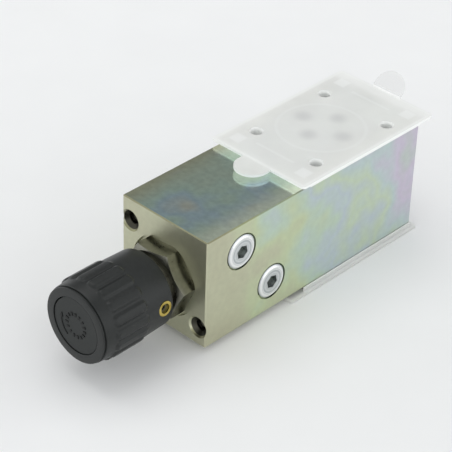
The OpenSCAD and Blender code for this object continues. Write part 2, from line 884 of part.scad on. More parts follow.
module spindle_seal() {
    color(rubber_black)
        on_axis()
            translate([0, 0, spindle_seal_h])
                o_ring(spindle_d / 2 - spindle_seal_wire - seal_gap, spindle_seal_wire - static_gap);
}

module stop_ring() {
    color(hard_steel)
        on_axis()
            translate([0, 0, stop_ring_h])
                difference() {
                    tube(stop_groove_r + static_gap, guide_r - stop_ring_gap, stop_ring_t);
                    translate([-stop_ring_open / 2, 0, -past])
                        cube([stop_ring_open, guide_r, stop_ring_t + 2 * past]);
                }
}

// One raised ridge of the grip: a pad with round corners that stands out along +Y
module grip_ridge() {
    root_r = knob_hole_r + past;
    translate([0, root_r, (grip_rear + grip_front) / 2])
        rotate([-90, 0, 0])
            linear_extrude(grip_r + past - root_r)
                rounded_rectangle(grip_w, grip_front - grip_rear, grip_corner);
}

// Knob: turned body with a thin front disc, raised ridges on the grip, and a flatted hub inside
module knob() {
    pitch = 360 / grip_count;
    disc_h = knob_front - knob_disc_t;
    groove_h = disc_h - knob_groove_w;
    groove_r = knob_disc_r - knob_groove_depth;
    hub_r = spindle_end_d / 2;
    color(black_plastic)
        on_axis()
            difference() {
                union() {
                    turned([
                        [0, knob_rear], [knob_rear_r - edge, knob_rear], [knob_rear_r, knob_rear + edge],
                        [knob_mid_r, grip_rear - edge], [knob_band_r, grip_front],
                        [knob_nose_r, groove_h], [groove_r, groove_h], [groove_r, disc_h],
                        [knob_disc_r, disc_h], [knob_disc_r, knob_front - edge / 2],
                        [knob_disc_r - edge / 2, knob_front], [0, knob_front]
                    ]);
                    intersection() {
                        for (i = [0 : grip_count - 1])
                            rotate([0, 0, -grip_turn + (i + 0.5) * pitch])
                                grip_ridge();
                        cylinder(r = grip_r, h = knob_front);
                    }
                }
                translate([0, 0, knob_rear - past])
                    cylinder(r = knob_hole_r, h = knob_floor_h - knob_rear + past);
                intersection() {
                    cylinder(r = hub_r, h = knob_front);
                    translate([-spindle_flats / 2, -hub_r, 0])
                        cube([spindle_flats, 2 * hub_r, knob_front]);
                }
                translate([0, 0, hub_front_h])
                    cylinder(r = screw_pocket_r, h = knob_front - hub_front_h);
                translate([0, 0, knob_front - cap_t])
                    cylinder(d = cap_d, h = cap_t + past);
                translate([0, 0, insert_h])
                    rotate([-90, 0, -insert_turn])
                        cylinder(d = insert_d, h = grip_r);
            }
}

// Cap that snaps into the front of the knob; a notch in its rim takes a screwdriver
module knob_cap() {
    cap_r = cap_d / 2 - static_gap;
    skirt_r = screw_pocket_r - static_gap;
    notch_cuts = 7;
    color(black_plastic)
        on_axis()
            difference() {
                turned([
                    [0, knob_front - edge / 2], [cap_r - edge, knob_front - edge / 2],
                    [cap_r, knob_front - edge], [cap_r, knob_front - cap_t], [skirt_r, knob_front - cap_t],
                    [skirt_r, knob_front - cap_t - cap_skirt],
                    [skirt_r - cap_wall, knob_front - cap_t - cap_skirt],
                    [skirt_r - cap_wall, knob_front - cap_t], [0, knob_front - cap_t]
                ]);
                for (i = [0 : notch_cuts])
                    rotate([0, 0, 90 + notch_start + i * notch_span / notch_cuts])
                        translate([cap_r, 0, knob_front - cap_t + edge])
                            cylinder(d = cap_notch, h = cap_t);
            }
}

module knob_washer() {
    color(bright_steel)
        on_axis()
            translate([0, 0, hub_front_h])
                tube(screw_r + groove_spare / 2, washer_d / 2, washer_t);
}

// Cap screw that pulls the knob onto the spindle
module knob_screw() {
    head_h = hub_front_h + washer_t;
    tip_h = hub_front_h - knob_screw_len + edge;
    color(hard_steel)
        on_axis()
            difference() {
                turned([
                    [0, tip_h], [screw_r - edge, tip_h], [screw_r, tip_h + edge], [screw_r, head_h],
                    [screw_head_r, head_h], [screw_head_r, head_h + knob_screw_head_h - edge],
                    [screw_head_r - edge, head_h + knob_screw_head_h], [0, head_h + knob_screw_head_h]
                ]);
                translate([0, 0, head_h + knob_screw_head_h / 2])
                    hexagon(knob_screw_af, knob_screw_head_h);
            }
}

module lock_insert() {
    face_r = knob_rear_r + edge / 3;
    color(brass)
        on_skirt()
            translate([0, 0, knob_hole_r])
                tube(lock_d / 2, insert_d / 2 - static_gap, face_r - knob_hole_r);
}

// Grub screw with a hexagon socket; its tip stands just off the neck
module lock_screw() {
    tip = neck_r + lock_gap;
    head = knob_rear_r - lock_sunk;
    lock_r = lock_d / 2 - static_gap;
    color(hard_steel)
        on_skirt()
            difference() {
                turned([
                    [0, tip], [lock_r - edge, tip], [lock_r, tip + edge], [lock_r, head], [0, head]
                ]);
                translate([0, 0, head - lock_socket])
                    hexagon(lock_d / 2, lock_socket + past);
            }
}

valve_block();
top_cover();
bottom_cover();
gallery_plugs();
upper_screw_plug();
lower_screw_plug();
upper_plug_seal();
lower_plug_seal();
pressure_port_seal();
tank_port_seal();
port_a_seal();
port_b_seal();
cartridge_sleeve();
head_seal();
nose_seal();
nose_backup_ring();
valve_seat();
poppet();
relief_spring();
spring_plate();
adjusting_spindle();
spindle_seal();
stop_ring();
knob();
knob_cap();
knob_screw();
knob_washer();
lock_insert();
lock_screw();
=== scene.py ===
# %% [markdown]
# # Dressing a hydraulic sandwich valve
# The CAD part arrives packed, with every size already right. This lesson adds what the CAD leaves out: the looks of
# plated steel, turned steel, moulded plastic and milky covers, a knob with soft ridges, screw threads, and the studio
# around it. Lengths are written in millimetres, and one function turns them into Blender's metres.

import math

import bmesh
import bpy
from mathutils import Matrix, Vector


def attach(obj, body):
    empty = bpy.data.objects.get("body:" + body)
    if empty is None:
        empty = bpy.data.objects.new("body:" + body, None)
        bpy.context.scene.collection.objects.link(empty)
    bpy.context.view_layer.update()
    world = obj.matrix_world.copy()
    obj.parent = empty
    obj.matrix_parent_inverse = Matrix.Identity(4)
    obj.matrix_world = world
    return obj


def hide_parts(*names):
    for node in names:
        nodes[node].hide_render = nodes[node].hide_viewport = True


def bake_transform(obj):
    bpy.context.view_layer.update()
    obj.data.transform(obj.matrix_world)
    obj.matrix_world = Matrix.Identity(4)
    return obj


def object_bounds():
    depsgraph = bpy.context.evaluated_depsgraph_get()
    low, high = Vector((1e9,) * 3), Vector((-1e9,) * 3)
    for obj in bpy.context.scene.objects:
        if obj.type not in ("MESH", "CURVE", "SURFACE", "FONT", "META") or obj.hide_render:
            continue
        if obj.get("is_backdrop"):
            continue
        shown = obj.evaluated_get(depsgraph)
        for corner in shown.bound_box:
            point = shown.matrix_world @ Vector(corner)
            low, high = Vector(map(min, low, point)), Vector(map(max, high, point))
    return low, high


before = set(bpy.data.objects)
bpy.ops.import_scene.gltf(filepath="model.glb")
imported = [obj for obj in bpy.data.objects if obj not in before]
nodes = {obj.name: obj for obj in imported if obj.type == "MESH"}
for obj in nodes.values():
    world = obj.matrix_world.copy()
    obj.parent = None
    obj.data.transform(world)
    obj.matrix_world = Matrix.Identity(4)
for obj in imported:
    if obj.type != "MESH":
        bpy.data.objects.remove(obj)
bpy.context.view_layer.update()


# %% [markdown]
# Four helpers keep the rest short. Two turn millimetres into metres, and the real size of a pattern into its scale.
# Colours are written as they look on a screen and are turned into the linear values that a renderer works with. `add`
# makes one node of any tree, shader or geometry: it sets the node's options, fills in its inputs, and links them. The
# stops are for a colour ramp.

# %% Helpers
def mm(*values):
    scaled = [v / 1000 for v in values]
    return scaled[0] if len(scaled) == 1 else Vector(scaled)


def per_mm(size):
    return 1000 / size


def colour(code):
    channels = [int(code[i:i + 2], 16) / 255 for i in (1, 3, 5)]
    linear = [c / 12.92 if c <= 0.04045 else ((c + 0.055) / 1.055) ** 2.4 for c in channels]
    return (*linear, 1.0)


def add(tree, kind, links=None, values=None, stops=None, **settings):
    made = tree.nodes.new(kind)
    for name, value in settings.items():
        setattr(made, name, value)
    for socket, value in (values or {}).items():
        made.inputs[socket].default_value = value
    for socket, source in (links or {}).items():
        tree.links.new(source.outputs[0] if hasattr(source, "outputs") else source, made.inputs[socket])
    for i, (at, code) in enumerate(stops or []):
        stop = made.color_ramp.elements[i] if i < 2 else made.color_ramp.elements.new(at)
        stop.position, stop.color = at, colour(code)
    return made


print("1 mm is", mm(1), "m, a pattern of 1 mm has the scale", per_mm(1))


# %% [markdown]
# Every material starts the same way: an empty tree, a Principled shader, and object coordinates. All objects sit at
# the origin with their place in their mesh, so object coordinates are real positions in metres, and the scale of a
# pattern is one over its real size.

# %% Start of a material
def start(name, **values):
    material = bpy.data.materials.new(name)
    material.use_nodes = True
    tree = material.node_tree
    tree.nodes.clear()
    shader = add(tree, "ShaderNodeBsdfPrincipled", values={k.replace("_", " "): v for k, v in values.items()})
    add(tree, "ShaderNodeOutputMaterial", {"Surface": shader})
    place = add(tree, "ShaderNodeTexCoord").outputs["Object"]
    return material, tree, shader, place


# %% [markdown]
# ## Zinc plating
# The block is milled steel, zinc plated and passivated. The passive film is so thin that it tints the reflection, like
# oil on water: warm grey where it is thinnest, and then green, blue and lilac. On the sides the film grows towards the
# plain end, so the ramp of tints follows the length of the block, and a wide noise bends its bands. The upper face is
# smoother and has a cooler film, so the way that the surface faces chooses between the two; towards its right edge it
# is painted lighter, as a painted reflection of the bright floor. The tapped holes are painted dark, as painted shade
# in the recesses.

# %% Tints of the film
side_tints = [(0.00, "#c4c3aa"), (0.22, "#c9cab0"), (0.36, "#cdd7b4"), (0.47, "#c6d7c6"), (0.56, "#c5d1d6"),
              (0.66, "#cbd9c2"), (0.76, "#c5d4d3"), (0.88, "#d1c9d9"), (1.00, "#c6d0ca")]
cool_tints = [(0.34, "#c4d6c4"), (0.44, "#c2dacb"), (0.54, "#bad1d8"), (0.66, "#d0d5c8")]
# Warm film on both rims of the upper face; the right rim is painted lighter, as a painted reflection of the bright
# floor
warm_and_lit_tints = [(0.1, "#c4c6a8"), (0.9, "#f0fae4")]
knob_end, plain_end, half_width, rim_start, rim_full = -85, 34, 24, 10, 23
climb, bend = 190, 0.9


def side_film(tree, spot, patches):
    along = add(tree, "ShaderNodeMapRange", {"Value": spot["Y"]},
                {"From Min": mm(knob_end), "From Max": mm(plain_end)})
    height = add(tree, "ShaderNodeMath", {0: spot["Z"], 2: along}, {1: per_mm(climb)}, operation="MULTIPLY_ADD")
    growth = add(tree, "ShaderNodeMath", {0: patches, 2: height}, {1: bend}, operation="MULTIPLY_ADD")
    band = add(tree, "ShaderNodeMapRange", {"Value": growth}, {"From Min": 0.45, "From Max": 1.75})
    return add(tree, "ShaderNodeValToRGB", {"Fac": band}, stops=side_tints)


def top_film(tree, spot, patches):
    cool = add(tree, "ShaderNodeValToRGB", {"Fac": patches}, stops=cool_tints)
    across = add(tree, "ShaderNodeMath", {0: spot["X"]}, operation="ABSOLUTE")
    rim = add(tree, "ShaderNodeMapRange", {"Value": across},
              {"From Min": mm(rim_start), "From Max": mm(rim_full)}, interpolation_type="SMOOTHSTEP")
    width = add(tree, "ShaderNodeMapRange", {"Value": spot["X"]},
                {"From Min": mm(-half_width), "From Max": mm(half_width)})
    # Painted reflection: lighter towards the right edge
    warm = add(tree, "ShaderNodeValToRGB", {"Fac": width}, stops=warm_and_lit_tints)
    return add(tree, "ShaderNodeMix", {0: rim, 6: cool, 7: warm}, data_type="RGBA").outputs[2]


print("tints of the film:", len(side_tints), "on the sides,", len(cool_tints) + len(warm_and_lit_tints), "on top")


# %% Painted shade in the tapped holes
tapped_holes, hole_reach, hole_bottom = [mm(-18, 0, 40.35), mm(18, 0, 10.35)], 3.9, -70


def painted_hole_shade(tree, place, spot):
    end_view = add(tree, "ShaderNodeVectorMath", {0: place}, {1: (1, 0, 1)}, operation="MULTIPLY")
    hole_shade = None
    for hole in tapped_holes:
        away = add(tree, "ShaderNodeVectorMath", {0: end_view}, {1: hole}, operation="DISTANCE").outputs["Value"]
        near = add(tree, "ShaderNodeMath", {0: away}, {1: mm(hole_reach)}, operation="LESS_THAN")
        hole_shade = add(tree, "ShaderNodeMath", {0: hole_shade, 1: near}, operation="MAXIMUM") if hole_shade else near
    at_end = add(tree, "ShaderNodeMath", {0: spot["Y"]}, {1: mm(hole_bottom)}, operation="LESS_THAN")
    return add(tree, "ShaderNodeMath", {0: hole_shade, 1: at_end}, operation="MULTIPLY")


print("tapped holes:", len(tapped_holes))


# %% Zinc plating
patch_size, mottle_size = 22, 2.5
# The real grain is about a tenth of this size, too fine to show in the render
zinc_grain, zinc_depth = 0.6, 0.02


def zinc_plating():
    material, tree, shader, place = start("passivated zinc plating", Metallic=1.0)
    spot = add(tree, "ShaderNodeSeparateXYZ", {"Vector": place}).outputs
    facing = add(tree, "ShaderNodeNewGeometry").outputs["Normal"]
    up = add(tree, "ShaderNodeSeparateXYZ", {"Vector": facing}).outputs["Z"]
    is_top = add(tree, "ShaderNodeMapRange", {"Value": up}, {"From Min": 0.8, "From Max": 0.95})
    patches = add(tree, "ShaderNodeTexNoise", {"Vector": place}, {"Scale": per_mm(patch_size), "Detail": 2.0})
    clean = add(tree, "ShaderNodeMix", {0: is_top, 6: side_film(tree, spot, patches),
                                        7: top_film(tree, spot, patches)}, data_type="RGBA").outputs[2]
    mottle = add(tree, "ShaderNodeTexNoise", {"Vector": place}, {"Scale": per_mm(mottle_size), "Detail": 4.0})
    least = add(tree, "ShaderNodeMapRange", {"Value": is_top}, {"To Min": 0.93, "To Max": 0.84})
    speck = add(tree, "ShaderNodeMapRange", {"Value": mottle, "To Min": least}, {"From Min": 0.3, "From Max": 0.7})
    faces = add(tree, "ShaderNodeVectorMath", {0: clean, "Scale": speck}, operation="SCALE")
    # The narrow chamfers on the upper edges are painted darker than the faces, as painted shade that tones down their
    # bright reflection
    chamfer_shade = add(tree, "ShaderNodeValToRGB", {"Fac": up}, stops=[
        (0.3, "#ffffff"), (0.5, "#bdbbae"), (0.8, "#bdbbae"), (0.92, "#ffffff")])
    plated = add(tree, "ShaderNodeMix", {6: faces, 7: chamfer_shade}, {0: 1.0}, data_type="RGBA",
                 blend_type="MULTIPLY").outputs[2]
    # Painted shade: the tapped holes are tinted dark grey
    tint = add(tree, "ShaderNodeMix", {0: painted_hole_shade(tree, place, spot), 6: plated}, {7: colour("#48473f")},
               data_type="RGBA").outputs[2]
    rough = add(tree, "ShaderNodeMapRange", {"Value": is_top}, {"To Min": 0.42, "To Max": 0.16})
    grain = add(tree, "ShaderNodeTexNoise", {"Vector": place}, {"Scale": per_mm(zinc_grain), "Detail": 3.0})
    relief = add(tree, "ShaderNodeMapRange", {"Value": is_top}, {"To Min": 0.25, "To Max": 0.03})
    dents = add(tree, "ShaderNodeBump", {"Height": grain, "Strength": relief}, {"Distance": mm(zinc_depth)})
    tree.links.new(tint, shader.inputs["Base Color"])
    tree.links.new(rough.outputs[0], shader.inputs["Roughness"])
    tree.links.new(dents.outputs[0], shader.inputs["Normal"])
    return material


# Satin grey-green metal with soft rainbow patches
zinc = zinc_plating()
print(zinc.name, "has", len(zinc.node_tree.nodes), "nodes")


# %% [markdown]
# ## Other metals
# The hexagon, the small steel pieces and the brass insert share one recipe: a tint that varies a little and fine tool
# marks. On turned faces the marks run round the axis of the piece, and that stretches each highlight into a bright
# wedge. Principled's anisotropy does that, with a tangent worked out from the arm between the point and the axis. The
# axes of the knob and the plugs are where the CAD source puts them.

# %% Plain metals
speckle_size, gloss_spread = 2.5, 0.08
# Tool marks, drawn several times coarser than real ones so that they show
tool_mark = 0.4


def worked_metal(name, dark, light, rough, depth=0.01):
    material, tree, shader, place = start(name, Metallic=1.0)
    speckle = add(tree, "ShaderNodeTexNoise", {"Vector": place}, {"Scale": per_mm(speckle_size), "Detail": 3.0})
    tint = add(tree, "ShaderNodeValToRGB", {"Fac": speckle}, stops=[(0.3, dark), (0.7, light)])
    gloss = add(tree, "ShaderNodeMapRange", {"Value": speckle},
                {"To Min": rough - gloss_spread, "To Max": rough + gloss_spread})
    marks = add(tree, "ShaderNodeTexNoise", {"Vector": place}, {"Scale": per_mm(tool_mark), "Detail": 2.0})
    dents = add(tree, "ShaderNodeBump", {"Height": marks}, {"Distance": mm(depth), "Strength": 0.4})
    for source, socket in ((tint, "Base Color"), (gloss, "Roughness"), (dents, "Normal")):
        tree.links.new(source.outputs[0], shader.inputs[socket])
    return material


# Darker and plainer than the block, so that the hexagon stands off from the end face
hexagon_steel = worked_metal("zinc plated bar steel", "#727168", "#838277", 0.3, depth=0.005)
# Dull dark grey
hard_steel = worked_metal("hardened steel", "#6f7276", "#85898d", 0.4)
# A small warm spark on the black knob
brass = worked_metal("turned brass", "#a08a3c", "#d0bb68", 0.2)
print("plain metals:", [metal.name for metal in (hexagon_steel, hard_steel, brass)])


# %% Turned metals
axis_height = 24.55
axis_point, axis_way = mm(0, -85.25, axis_height), Vector((0, 1, 0))
upper_plug, lower_plug, plug_way = mm(22.4, -67.05, 37.8), mm(22.4, -49.85, 15.6), Vector((1, 0, 0))
# Turning marks, drawn about ten times coarser than real ones so that they show
turning_mark, turning_depth = 1.3, 0.01
# Painted shade in the hex sockets: the steel is tinted darker from 0.9 mm deep, fully at 2 mm
socket_shade_tint, socket_start, socket_full = "#b9bdbb", -0.9, -2


def turned_steel(name, dark, light, rough, centre, axis):
    material, tree, shader, place = start(name, Metallic=1.0, Anisotropic=0.6)
    arm = add(tree, "ShaderNodeVectorMath", {0: place}, {1: centre}, operation="SUBTRACT")
    across = add(tree, "ShaderNodeVectorMath", {1: arm}, {0: axis}, operation="CROSS_PRODUCT")
    tangent = add(tree, "ShaderNodeVectorMath", {0: across}, operation="NORMALIZE")
    radius = add(tree, "ShaderNodeVectorMath", {0: across}, operation="LENGTH").outputs["Value"]
    rings = add(tree, "ShaderNodeTexNoise", {"W": radius}, {"Scale": per_mm(turning_mark), "Detail": 2.0},
                noise_dimensions="1D")
    bare = add(tree, "ShaderNodeValToRGB", {"Fac": rings}, stops=[(0.4, dark), (0.6, light)])
    depth = add(tree, "ShaderNodeVectorMath", {0: arm}, {1: axis}, operation="DOT_PRODUCT").outputs["Value"]
    # Painted shade, darker deeper in the socket
    socket_shade = add(tree, "ShaderNodeMapRange", {"Value": depth},
               {"From Min": mm(socket_start), "From Max": mm(socket_full)})
    tint = add(tree, "ShaderNodeMix", {0: socket_shade, 6: bare}, {7: colour(socket_shade_tint)}, data_type="RGBA")
    gloss = add(tree, "ShaderNodeMapRange", {"Value": rings},
                {"To Min": rough - gloss_spread, "To Max": rough + gloss_spread})
    dents = add(tree, "ShaderNodeBump", {"Height": rings}, {"Distance": mm(turning_depth), "Strength": 0.4})
    tree.links.new(tint.outputs[2], shader.inputs["Base Color"])
    for source, socket in ((gloss, "Roughness"), (dents, "Normal"), (tangent, "Tangent")):
        tree.links.new(source.outputs[0], shader.inputs[socket])
    return material


# Bright rings, with a highlight that fans out from the middle
spindle_steel = turned_steel("turned spindle steel", "#b4b8bc", "#d0d4d8", 0.25, axis_point, axis_way)
upper_plug_steel = turned_steel("turned upper plug steel", "#b8bdc0", "#ffffff", 0.24, upper_plug, plug_way)
lower_plug_steel = turned_steel("turned lower plug steel", "#b8bdc0", "#ffffff", 0.24, lower_plug, plug_way)
print("turned metals:", [metal.name for metal in (spindle_steel, upper_plug_steel, lower_plug_steel)])


# %% [markdown]
# ## Plastics and rubber
# The knob is glass-filled nylon out of a sandblasted mould: nearly black, with a dull, broad sheen and a fine grain.
# The rubber seals and the white sealing ring use the same recipe, with other colours and less or more shine.

# %% Plastics and rubber
# The mould's grain, drawn a little coarser than real so that it shows
mould_grain = 0.35


def moulding(name, dark, light, rough, size=1.5, depth=0.02, sheen=0.5):
    material, tree, shader, place = start(name, Specular_IOR_Level=sheen)
    cloud = add(tree, "ShaderNodeTexNoise", {"Vector": place}, {"Scale": per_mm(size), "Detail": 3.0})
    tint = add(tree, "ShaderNodeValToRGB", {"Fac": cloud}, stops=[(0.3, dark), (0.7, light)])
    gloss = add(tree, "ShaderNodeMapRange", {"Value": cloud},
                {"To Min": rough - gloss_spread, "To Max": rough + gloss_spread})
    grain = add(tree, "ShaderNodeTexNoise", {"Vector": place}, {"Scale": per_mm(mould_grain), "Detail": 2.0})
    dents = add(tree, "ShaderNodeBump", {"Height": grain}, {"Distance": mm(depth), "Strength": 0.3})
    for source, socket in ((tint, "Base Color"), (gloss, "Roughness"), (dents, "Normal")):
        tree.links.new(source.outputs[0], shader.inputs[socket])
    return material


# Deep black with a broad grey sheen on the ridges
knob_nylon = moulding("black glass-filled nylon", "#161918", "#1c1f1e", 0.4, sheen=0.4)
# A shade greyer and duller than the barrel, so that the cap is seen as a piece of its own
cap_nylon = moulding("black cap nylon", "#1d201f", "#232625", 0.46, sheen=0.3)
# Ivory, with a soft shine
white_ring = moulding("white sealing plastic", "#d8d6cd", "#e6e4dc", 0.4)
# Black with hardly any shine
rubber = moulding("black nitrile rubber", "#161616", "#1e1e1e", 0.6)
print("mouldings:", [plastic.name for plastic in (knob_nylon, cap_nylon, white_ring, rubber)])


# %% [markdown]
# ## Milky covers
# The covers are thin polyethylene, pressed in a mould. A thin sheet scatters part of the light back and lets the rest
# through, so Principled is mixed with a Translucent shader. The ports below are painted in as soft shadows. Where the
# sheet is thick, at its feet, bars, ring and rim, it turns white. The cut edges are painted white all round, as a
# painted glow, less so on the lower cover; past the end of the block the plate is painted whiter, as painted light from
# the floor under it. The tab that is pulled to take the cover off is thinner and clearer than the plate.

# %% Soft shadows of the ports
ports = [mm(10.4, 1.25, 0), mm(-10.4, 1.25, 0), mm(0, -7.55, 0), mm(0, 9.95, 0)]
shadow_edge, shadow_core = 5.5, 0.5


def port_shadow(tree, flat):
    shadow = None
    for port in ports:
        away = add(tree, "ShaderNodeVectorMath", {0: flat}, {1: port}, operation="DISTANCE").outputs["Value"]
        spot = add(tree, "ShaderNodeMapRange", {"Value": away},
                   {"From Min": mm(shadow_edge), "From Max": mm(shadow_core)}, interpolation_type="SMOOTHSTEP")
        shadow = add(tree, "ShaderNodeMath", {0: shadow, 1: spot}, operation="MAXIMUM") if shadow else spot
    return shadow


print("port shadows:", len(ports))


# %% Thick, white places, and painted light past the block
ring_radius = 17.6
# The white starts this far from a raised form, and is full this close to it
white_start, white_full = 1.0, 0.3
# Past the end of the block the plate has the pale floor under it, and is painted whiter within 2 mm, as painted light
# from the floor
overhang_start, overhang_full = 33.5, 35.5
# Middle and half size of each raised form from the middle of the plate, whether all of it is white or only its
# outline, and the share of white
raised_forms = [((17, 30.5), (2, 2), True, 0.7),  # feet
                ((0, 28), (9, 0), True, 0.5),  # bars
                ((0, 0), (23.2, 37.2), False, 0.6)]  # rim


def thick_and_lit_places(tree, flat, centred):
    reach = add(tree, "ShaderNodeVectorMath", {0: flat}, operation="LENGTH").outputs["Value"]
    off_ring = add(tree, "ShaderNodeMath", {0: reach}, {1: mm(ring_radius)}, operation="SUBTRACT")
    ring = add(tree, "ShaderNodeMath", {0: off_ring}, operation="ABSOLUTE")
    past_end = add(tree, "ShaderNodeSeparateXYZ", {"Vector": flat}).outputs["Y"]
    # Each place: the distance from it, where the white starts and is full, and the share of white
    # The place past the end of the block is painted light, not a thick place
    places = [(ring, white_start, white_full, 0.4), (past_end, overhang_start, overhang_full, 0.35)]
    corner = add(tree, "ShaderNodeVectorMath", {0: centred}, operation="ABSOLUTE")
    for middle, half, filled, share in raised_forms:
        offset = add(tree, "ShaderNodeVectorMath", {0: corner}, {1: mm(*middle, 0)}, operation="SUBTRACT")
        aside = add(tree, "ShaderNodeVectorMath", {0: offset}, operation="ABSOLUTE")
        past = add(tree, "ShaderNodeVectorMath", {0: aside}, {1: mm(*half, 0)}, operation="SUBTRACT")
        sides = add(tree, "ShaderNodeSeparateXYZ", {"Vector": past}).outputs
        away = add(tree, "ShaderNodeMath", {0: sides["X"], 1: sides["Y"]}, operation="MAXIMUM")
        if not filled:
            away = add(tree, "ShaderNodeMath", {0: away}, operation="ABSOLUTE")
        places.append((away, white_start, white_full, share))
    return places


print("raised forms:", len(raised_forms), "and a ring of", ring_radius, "mm radius")


# %% Milky covers
cloud_size, tab_start, tab_full = 14, 37.9, 38.4


def milky_sheet(name, shift, edge):
    material, tree, shader, place = start(name, IOR=1.5)
    flat = add(tree, "ShaderNodeVectorMath", {0: place}, {1: (1, 1, 0)}, operation="MULTIPLY")
    cloud = add(tree, "ShaderNodeTexNoise", {"Vector": place}, {"Scale": per_mm(cloud_size), "Detail": 3.0})
    clear = add(tree, "ShaderNodeValToRGB", {"Fac": cloud}, stops=[(0.3, "#f3f3f1"), (0.7, "#f8f8f6")])
    tint = add(tree, "ShaderNodeMix", {0: port_shadow(tree, flat), 6: clear}, {7: colour("#eaeae9")},
               data_type="RGBA").outputs[2]
    gloss = add(tree, "ShaderNodeMapRange", {"Value": cloud}, {"To Min": 0.12, "To Max": 0.22})
    tree.links.new(tint, shader.inputs["Base Color"])
    tree.links.new(gloss.outputs[0], shader.inputs["Roughness"])

    # Cut edges are painted white all round as a painted glow, and thick places are white on the upper side
    centred = add(tree, "ShaderNodeVectorMath", {0: flat}, {1: mm(0, shift, 0)}, operation="SUBTRACT")
    normal = add(tree, "ShaderNodeNewGeometry").outputs["Normal"]
    up = add(tree, "ShaderNodeSeparateXYZ", {"Vector": normal}).outputs["Z"]
    steep = add(tree, "ShaderNodeMath", {0: up}, operation="ABSOLUTE")
    white = add(tree, "ShaderNodeMapRange", {"Value": steep}, {"From Min": 0.6, "From Max": 0.3, "To Max": edge})
    above = add(tree, "ShaderNodeMath", {0: up}, {1: 0.0}, operation="MAXIMUM")
    for away, begins, full, share in thick_and_lit_places(tree, flat, centred):
        here = add(tree, "ShaderNodeMapRange", {"Value": away},
                   {"From Min": mm(begins), "From Max": mm(full), "To Max": share})
        on_top = add(tree, "ShaderNodeMath", {0: here, 1: above}, operation="MULTIPLY")
        white = add(tree, "ShaderNodeMath", {0: white, 1: on_top}, operation="MAXIMUM")

    through = add(tree, "ShaderNodeMapRange", {"Value": up},
                  {"From Min": -0.5, "From Max": 0.5, "To Min": 0.92, "To Max": 0.4})
    glow = add(tree, "ShaderNodeBsdfTranslucent", {"Color": tint})
    sheet = add(tree, "ShaderNodeMixShader", {0: through, 1: shader, 2: glow})
    solid = add(tree, "ShaderNodeBsdfPrincipled", values={"Base Color": colour("#f7f8f6"), "Roughness": 0.3})
    body = add(tree, "ShaderNodeMixShader", {0: white, 1: sheet, 2: solid})
    along = add(tree, "ShaderNodeSeparateXYZ", {"Vector": centred}).outputs["Y"]
    pulled = add(tree, "ShaderNodeMapRange", {"Value": along},
                 {"From Min": mm(tab_start), "From Max": mm(tab_full), "To Max": 0.9})
    clear_sheet = add(tree, "ShaderNodeBsdfTransparent", values={"Color": colour("#fafafa")})
    cover = add(tree, "ShaderNodeMixShader", {0: pulled, 1: body, 2: clear_sheet})
    tree.links.new(cover.outputs[0], tree.nodes["Material Output"].inputs["Surface"])
    return material


# Milky white, with a painted white glow on the edges and the ports as painted soft grey shadows
upper_sheet = milky_sheet("milky polyethylene, upper cover", 1.5, 1.0)
lower_sheet = milky_sheet("milky polyethylene, lower cover", -1.5, 0.2)
print(upper_sheet.name, "has", len(upper_sheet.node_tree.nodes), "nodes")


# %% [markdown]
# ## A material for every piece
# Each material is handed to its CAD nodes by name. One table from material to nodes shows at a glance which pieces are
# made of the same stuff, and the count shows that no node is left out.

# %% Materials by CAD node
looks = {
    zinc: ["valve_block"],
    upper_sheet: ["top_cover"],
    lower_sheet: ["bottom_cover"],
    hexagon_steel: ["cartridge_sleeve"],
    hard_steel: ["gallery_plugs", "valve_seat", "relief_spring", "stop_ring", "knob_screw", "lock_screw"],
    spindle_steel: ["adjusting_spindle", "spring_plate", "poppet", "knob_washer"],
    upper_plug_steel: ["upper_screw_plug"],
    lower_plug_steel: ["lower_screw_plug"],
    brass: ["lock_insert"],
    knob_nylon: ["knob"],
    cap_nylon: ["knob_cap"],
    white_ring: ["nose_backup_ring"],
    rubber: ["upper_plug_seal", "lower_plug_seal", "pressure_port_seal", "tank_port_seal", "port_a_seal",
             "port_b_seal", "head_seal", "nose_seal", "spindle_seal"],
}
for material, members in looks.items():
    for member in members:
        nodes[member].data.materials.clear()
        nodes[member].data.materials.append(material)
print("nodes with a material:", sum(len(members) for members in looks.values()), "of", len(nodes))


# %% [markdown]
# ## Growing pieces with Geometry Nodes
# What repeats is made by Geometry Nodes: a tree takes a small mesh and copies, turns or sweeps it. Three helpers make
# an empty tree with named inputs, put a mesh into the scene, and run a tree on a mesh. The result is turned into a
# plain mesh, because an export keeps no modifiers.

# %% Helpers for Geometry Nodes
sharp_angle = math.radians(32)


def new_tree(name, **inputs):
    tree = bpy.data.node_groups.new(name, "GeometryNodeTree")
    tree.interface.new_socket("Geometry", in_out="OUTPUT", socket_type="NodeSocketGeometry")
    tree.interface.new_socket("Geometry", in_out="INPUT", socket_type="NodeSocketGeometry")
    for label, kind in inputs.items():
        tree.interface.new_socket(label.replace("_", " "), in_out="INPUT", socket_type="NodeSocket" + kind)
    return tree, add(tree, "NodeGroupInput").outputs


def plain_object(name, mesh):
    made = bpy.data.objects.new(name, mesh)
    bpy.context.scene.collection.objects.link(made)
    return made


def grow(name, tree, mesh, **inputs):
    seed = plain_object(name + "_seed", mesh)
    modifier = seed.modifiers.new("grow", "NODES")
    modifier.node_group = tree
    for item in tree.interface.items_tree:
        if item.in_out == "INPUT" and item.name.replace(" ", "_") in inputs:
            modifier[item.identifier] = inputs[item.name.replace(" ", "_")]
    grown = bpy.data.meshes.new_from_object(seed.evaluated_get(bpy.context.evaluated_depsgraph_get()))
    bpy.data.objects.remove(seed)
    grown.shade_smooth()
    grown.set_sharp_from_angle(angle=sharp_angle)
    print(name, "has", len(grown.polygons), "faces")
    return plain_object(name, grown)


# %% [markdown]
# ## Knob
# The knob is one moulding: a barrel with eighteen raised grip ridges whose flanks run out softly. All eighteen are
# alike, so only one slice of the barrel is written down, with one ridge in its middle. Its section is a closed line of
# radius and height, outside and inside. The ridge lifts the outer points, by a smooth step across the outline of a
# rectangle with round corners.

